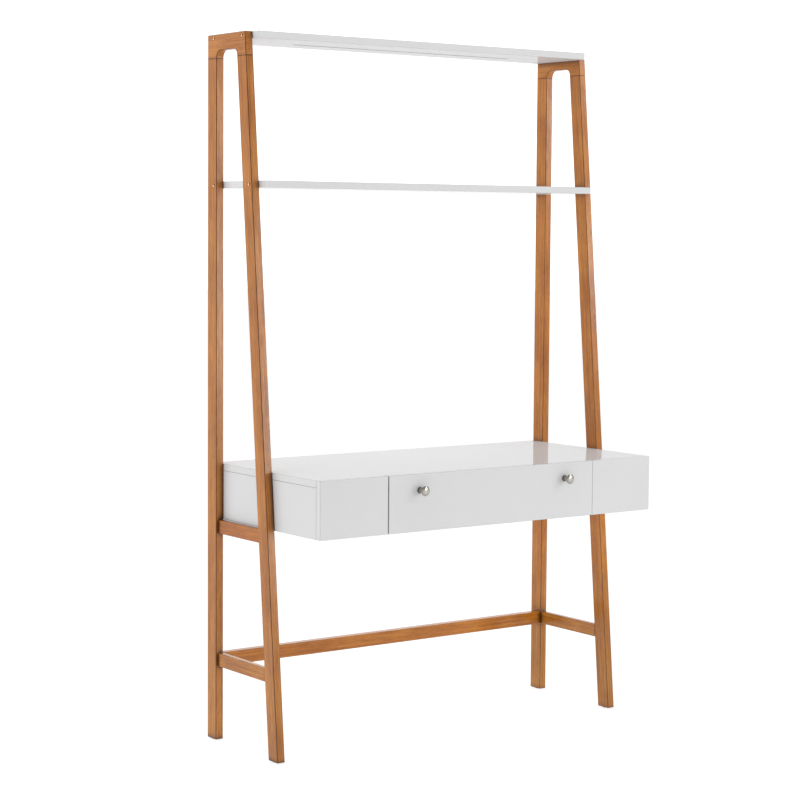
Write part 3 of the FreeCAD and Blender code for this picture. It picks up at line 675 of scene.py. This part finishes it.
def turnedBody(profile):  # the profile spun about Z, its face at the top
    shape = bmesh.new()
    points = [shape.verts.new((radius, 0, -depth)) for radius, depth in profile]
    for first, second in zip(points, points[1:]):
        shape.edges.new((first, second))
    bmesh.ops.spin(shape, geom=shape.verts[:] + shape.edges[:], cent=(0, 0, 0), axis=(0, 0, 1),
                   angle=2 * math.pi, steps=turningLook["rounds"])
    bmesh.ops.remove_doubles(shape, verts=shape.verts, dist=turningLook["turnedWeld"])
    bmesh.ops.recalc_face_normals(shape, faces=shape.faces)
    return shape


def driveCorners(drive):
    radius = drive["radius"]
    if "sides" in drive:
        angles = [2 * math.pi * i / drive["sides"] for i in range(drive["sides"])]
        return [(radius * math.cos(angle), radius * math.sin(angle)) for angle in angles]
    half = drive["width"] / 2
    corners = []
    for quarter in range(4):  # one arm of the cross, turned a quarter each time
        for x, y in ((radius, -half), (radius, half), (half, half)):
            for step in range(quarter):
                x, y = -y, x
            corners.append((x, y))
    return corners


def driveCutter(drive):  # a prism of the drive's outline, narrower at its foot
    shape = bmesh.new()
    corners = driveCorners(drive)
    taper = drive["taper"]
    top = [shape.verts.new((x, y, turningLook["cutterRise"])) for x, y in corners]
    foot = [shape.verts.new((x * taper, y * taper, -drive["depth"])) for x, y in corners]
    shape.faces.new(top)
    shape.faces.new(foot[::-1])
    count = len(corners)
    for i in range(count):
        following = (i + 1) % count
        shape.faces.new((top[i], foot[i], foot[following], top[following]))
    bmesh.ops.recalc_face_normals(shape, faces=shape.faces)
    return shape


def plainMesh(name, shape):
    mesh = bpy.data.meshes.new(name)
    shape.to_mesh(mesh)
    shape.free()
    return mesh


def meshObject(name, shape):
    item = bpy.data.objects.new(name, plainMesh(name, shape))
    bpy.context.scene.collection.objects.link(item)
    return item


def sunk(name, body, cutter):  # the turned body with the drive cut out of it
    blank = meshObject(name + "_blank", body)
    tool = meshObject(name + "_tool", cutter)
    cut = blank.modifiers.new("drive", "BOOLEAN")
    cut.operation = "DIFFERENCE"
    cut.solver = "EXACT"
    cut.object = tool
    bpy.context.view_layer.update()
    mesh = bpy.data.meshes.new_from_object(blank.evaluated_get(bpy.context.evaluated_depsgraph_get()))
    for item in (blank, tool):
        bpy.data.objects.remove(item)
    return mesh


def facingOf(low, high, facings):  # the listed way that lies along the solid and looks away from the middle
    size = high - low
    middle = (low + high) / 2
    if len(facings) > 1:
        longest = max(range(3), key=lambda i: size[i])
        facings = [facing for facing in facings if facing[longest]]
    return max((Vector(facing) for facing in facings), key=lambda facing: facing.dot(middle))


def fasteners(node, look):
    group = bmesh.new()
    scale = look.get("scale", 1.0)
    for index, (low, high) in enumerate(solidBoxes(node)):
        facing = facingOf(low, high, look["facings"])
        length = abs((high - low).dot(facing))
        name = f"{node}_{index}"
        body = turnedBody([(radius * scale, depth) for radius, depth in profileOf(look["shape"], length)])
        if "drive" in look:
            mesh = sunk(name, body, driveCutter(look["drive"]))
        else:
            mesh = plainMesh(name, body)
        seat = (low + high) / 2 + facing * length / 2
        turn = Vector((0, 0, 1)).rotation_difference(facing).to_matrix().to_4x4()
        spin = Matrix.Rotation(turningLook["spinStep"] * index, 4, "Z")
        mesh.transform(Matrix.Translation(seat) @ turn @ spin)
        group.from_mesh(mesh)
        bpy.data.meshes.remove(mesh)
    for face in group.faces:
        face.smooth = True
    piece = meshObject(f"{node}_turned", group)
    piece.data.set_sharp_from_angle(angle=turningLook["sharpAngle"])
    piece.data.materials.append(look["finish"])
    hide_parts(node)
    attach(piece, look.get("body", "desk"))


for node, look in fastenerLooks.items():
    fasteners(node, look)
print("fasteners done")


# Studio: a pale floor, a soft surround and large soft lights.
studioLook = {
    "floorRadius": 40.0,
    "floorSides": 96,
    "floorTone": (0.42, 0.42, 0.42, 1),
    "floorRough": 0.9,
    "floorShine": 0.1,
    "floorGlow": 0.735,
    "backdrop": (0.584, 0.812, 0.0),  # the way to the wall behind the desk
    "backdropSpan": (0.30, 0.88),
    "sweepSpan": (0.0, 0.32),
    "room": 0.44,
    "horizon": 1.03,
    "behindDesk": 1.34,
}
softLights = {
    "key_softbox": {"place": (3.6, -3.5, 3.40), "size": (1.8, 1.6), "power": 38.0},
    "strip_softbox": {"place": (4.0, -4.0, 1.87), "size": (1.2, 0.42), "power": 15.0},
    "low_front_softbox": {"place": (2.15, -4.35, 0.92), "size": (0.6, 1.04), "power": 15.5},
    "high_front_softbox": {"place": (2.15, -4.35, 1.87), "size": (0.6, 0.42), "power": 7.0},
    "left_softbox": {"place": (-4.0, -0.6, 3.8), "size": (3.0, 3.0), "power": 32.0},
    "rear_softbox": {"place": (-2.6, 2.6, 3.8), "size": (4.4, 3.4), "power": 74.0},
}


def studioFloor():
    shape = bmesh.new()
    bmesh.ops.create_circle(shape, cap_ends=True, segments=studioLook["floorSides"],
                            radius=studioLook["floorRadius"])
    floor = meshObject("studio_floor", shape)
    finish, tree, shader = newFinish("pale_floor")
    setSockets(tree, shader, {
        "Base Color": studioLook["floorTone"],
        "Roughness": studioLook["floorRough"],
        "Specular IOR Level": studioLook["floorShine"],
        "Emission Color": plainWhite,
        "Emission Strength": studioLook["floorGlow"],
    })
    floor.data.materials.append(finish)


def studioSurround():
    world = bpy.data.worlds.new("studio_surround")
    bpy.context.scene.world = world
    world.use_nodes = True
    tree = world.node_tree
    direction = add(tree, "TexCoord").outputs["Generated"]
    towards = {0: direction, 1: studioLook["backdrop"]}
    facing = add(tree, "VectorMath", towards, operation="DOT_PRODUCT").outputs["Value"]
    wall = remap(tree, facing, studioLook["backdropSpan"], (studioLook["room"], studioLook["behindDesk"]))
    height = calc(tree, "ABSOLUTE", add(tree, "SeparateXYZ", {0: direction}).outputs["Z"])
    sweep = remap(tree, height, studioLook["sweepSpan"], (studioLook["horizon"], studioLook["room"]))
    strength = calc(tree, "MAXIMUM", wall, sweep)  # the floor curves up into the wall
    setSockets(tree, tree.nodes["Background"], {"Color": plainWhite, "Strength": strength})


def softbox(name, look, aim):
    light = bpy.data.lights.new(name, "AREA")
    light.shape = "RECTANGLE"
    light.size, light.size_y = look["size"]
    light.energy = look["power"]
    lamp = bpy.data.objects.new(name, light)
    lamp.location = look["place"]
    lamp.rotation_euler = (aim - lamp.location).to_track_quat("-Z", "Y").to_euler()
    lamp.visible_camera = False  # never stands in the picture itself
    bpy.context.scene.collection.objects.link(lamp)


studioFloor()
studioSurround()
for name, look in softLights.items():
    softbox(name, look, (cadBox[0] + cadBox[1]) / 2)
print("studio done")


# Camera at the photograph's angle, with its angles in degrees.
cameraLook = {
    "place": (-3.3587, -4.4839, 1.3416),
    "heading": -35.748,
    "tilt": -4.023,
    "roll": 0.397,
    "sensor": 36.0,
    "lens": 95.30,
    "rise": -0.03,
}


def photoCamera():
    camera = bpy.data.cameras.new("photo_camera")
    camera.sensor_width = cameraLook["sensor"]
    camera.lens = cameraLook["lens"]
    camera.shift_y = cameraLook["rise"]
    stand = bpy.data.objects.new("photo_camera", camera)
    heading, tilt, roll = (math.radians(cameraLook[key]) for key in ("heading", "tilt", "roll"))
    turn = Matrix.Rotation(heading, 4, "Z") @ Matrix.Rotation(math.pi / 2 + tilt, 4, "X")
    stand.matrix_world = Matrix.Translation(cameraLook["place"]) @ turn @ Matrix.Rotation(roll, 4, "Z")
    bpy.context.scene.collection.objects.link(stand)
    bpy.context.scene.camera = stand


photoCamera()
bpy.context.scene.view_settings.view_transform = "Standard"
print("camera done")
